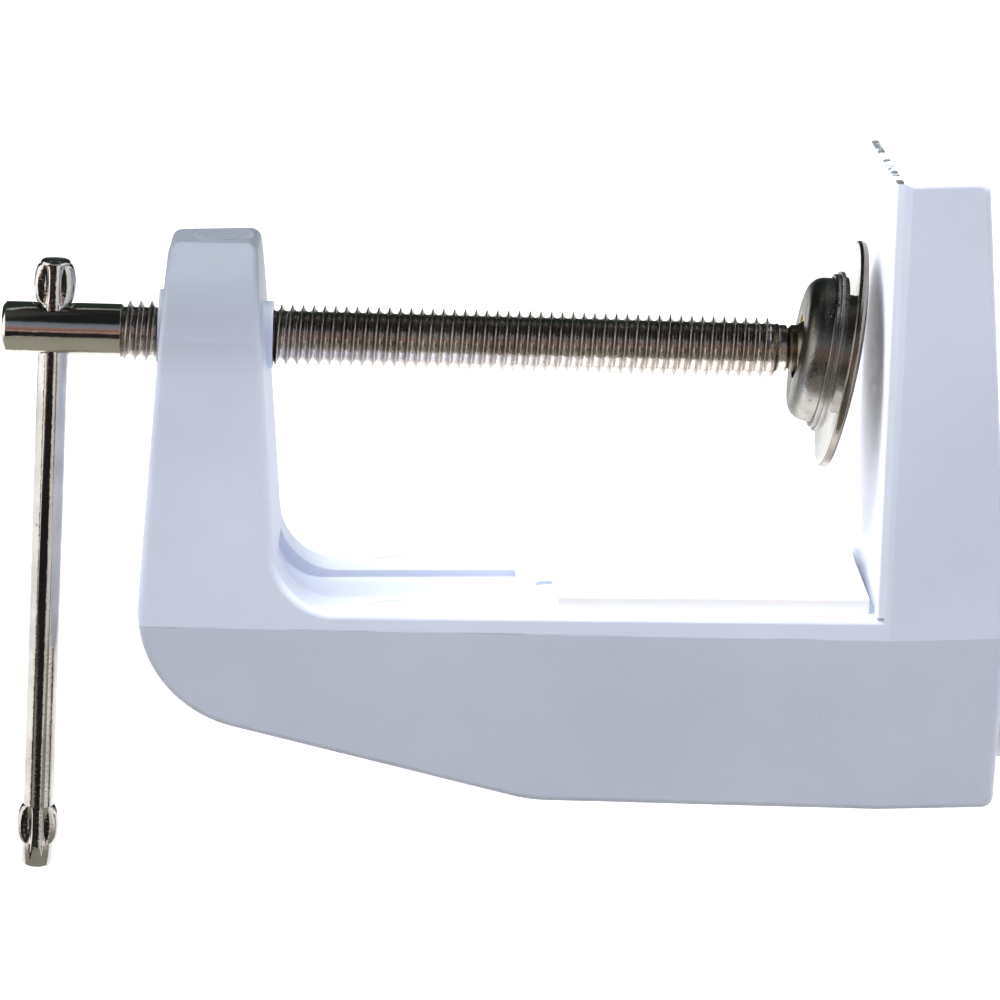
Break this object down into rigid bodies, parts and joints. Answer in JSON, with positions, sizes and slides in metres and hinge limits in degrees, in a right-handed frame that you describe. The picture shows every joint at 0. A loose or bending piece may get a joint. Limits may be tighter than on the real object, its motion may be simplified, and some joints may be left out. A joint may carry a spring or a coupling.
{
  "type": "table clamp",
  "caption": "C-shaped table clamp with a cast frame, screw with sliding cross bar, swivel pad, edge pad and a round socket for a lamp arm.",
  "frame": {"origin": "on the jaw's gripping face, where the screw's axis meets it", "axes": "+X from the screw arm to the jaw's end and out of the lamp socket, +Z from the beam up the jaw, +Y across the clamp"},
  "size_m": [0.1323, 0.0386, 0.0952],
  "materials": {
    "painted_casting": "satin pale blue-grey paint on a die casting",
    "jaw_liner": "satin thin plate",
    "white_pad": "soft satin white",
    "white_plastic": "satin moulded bush",
    "plated_screw": "bright plated rolled thread, warm tint",
    "bright_bar": "mirror",
    "olive_steel": "dark oiled",
    "brass_seat": "satin",
    "nickel_cup": "nickel, pressed",
    "nickel_disc": "satin nickel, pressed"
  },
  "bodies": {
    "frame": {"frame": "painted_casting", "jaw_liner": "jaw_liner", "edge_pad": "white_pad", "socket_bush": "white_plastic", "thread_bush": "painted_casting"},
    "swivel_ball": {"swivel_ball": "olive_steel"},
    "screw": {"clamp_screw": "plated_screw"},
    "cross_bar": {"tommy_bar": "bright_bar"},
    "seat": {"swivel_seat": "brass_seat"},
    "pad": {"swivel_cup": "nickel_cup", "cup_ring": "nickel_cup", "retainer_ring": "nickel_cup", "pressure_disc": "nickel_disc"}
  },
  "joints": [
    {"name": "screw_feed", "type": "slide", "parent": "frame", "child": "swivel_ball", "axis": [0.9997, 0, -0.0262], "range_m": [-0.066, 0.0005]},
    {"name": "screw_turn", "type": "hinge", "parent": "swivel_ball", "child": "screw", "pos_m": [0, 0, 0], "axis": [0.9997, 0, -0.0262], "range_deg": [-16830, 127]},
    {"name": "bar_slide", "type": "slide", "parent": "screw", "child": "cross_bar", "axis": [0.0471, 0, 0.9989], "range_m": [0, 0.0605]},
    {"name": "pad_swing", "type": "hinge", "parent": "swivel_ball", "child": "seat", "pos_m": [-0.0079, 0, 0.00021], "axis": [0.0262, 0, 0.9997], "range_deg": [-8.4, 8.4]},
    {"name": "pad_tilt", "type": "hinge", "parent": "seat", "child": "pad", "pos_m": [-0.0079, 0, 0.00021], "axis": [0, 1, 0], "range_deg": [-16.8, 0]}
  ],
  "couplings": [
    {"joint": "screw_feed", "follows": "screw_turn", "m_per_rad": 0.00022457}
  ]
}
